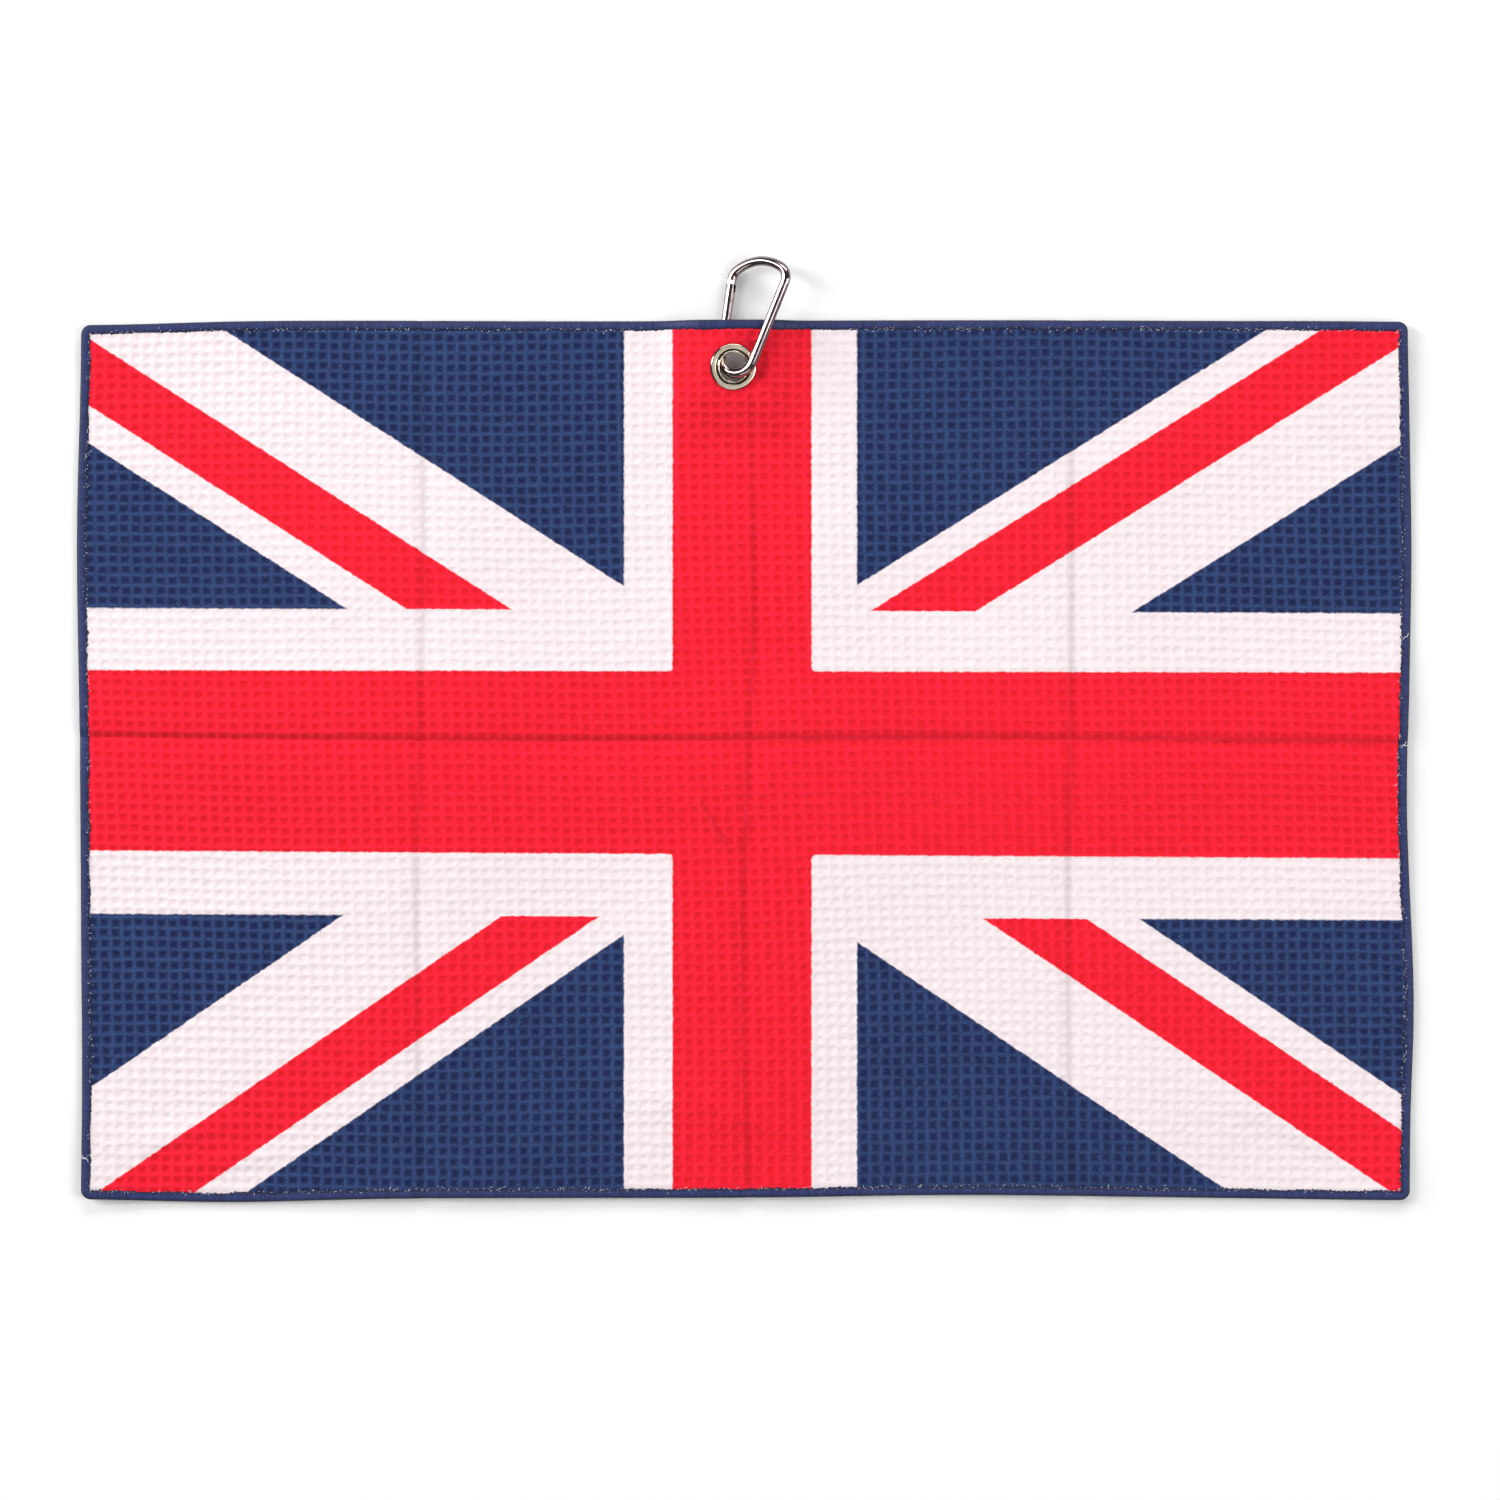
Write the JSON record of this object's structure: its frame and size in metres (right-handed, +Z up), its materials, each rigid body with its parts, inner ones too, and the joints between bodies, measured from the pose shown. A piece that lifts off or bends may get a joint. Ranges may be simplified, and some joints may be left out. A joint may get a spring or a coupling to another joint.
{
  "type": "golf towel",
  "caption": "Rectangular waffle-weave golf towel with a crossed-flag print, overlocked edge, metal grommet by one long edge and a sprung snap hook for a bag ring.",
  "frame": {"origin": "centre of the towel's back, on the surface it lies on", "axes": "+X along the long side, +Y across to the long edge that carries the grommet, +Z up out of the printed face"},
  "size_m": [0.61, 0.432, 0.0173],
  "materials": {
    "cloth": "waffle-weave microfibre, printed in red, white and blue",
    "edge_thread": "navy overlock thread, satin",
    "needle_thread": "navy sewing thread",
    "grommet_nickel": "bright nickel plate, slightly warm",
    "hook_chrome": "polished nickel plate",
    "pin_steel": "drawn steel",
    "spring_steel": "spring wire"
  },
  "bodies": {
    "towel": {"towel_cloth": "cloth", "edge_upper_thread": "edge_thread", "edge_lower_thread": "edge_thread", "edge_needle_thread": "needle_thread", "grommet_eyelet": "grommet_nickel", "grommet_washer": "grommet_nickel"},
    "hook": {"hook_body": "hook_chrome"},
    "gate": {"hook_gate": "hook_chrome", "hinge_pin": "pin_steel", "latch_pin": "pin_steel", "gate_spring": "spring_steel"},
    "plunger": {"gate_plunger": "pin_steel"}
  },
  "joints": [
    {"name": "hook_swing", "type": "hinge", "parent": "towel", "child": "hook", "pos_m": [-0.005, 0.1799, 0.00755], "axis": [0, 0, 1], "range_deg": [-25, 40]},
    {"name": "gate_open", "type": "hinge", "parent": "hook", "child": "gate", "pos_m": [-0.01008, 0.18828, 0.00382], "axis": [0.4571, -0.1072, -0.8829], "range_deg": [0, 20], "stiffness_Nm_per_rad": 0.05, "springref_deg": -20.05},
    {"name": "plunger_slide", "type": "slide", "parent": "gate", "child": "plunger", "axis": [0.1408, 0.9889, -0.0472], "range_m": [0, 0.0004]}
  ],
  "couplings": [
    {"joint": "plunger_slide", "follows": "gate_open", "m_per_rad": 0.001}
  ]
}
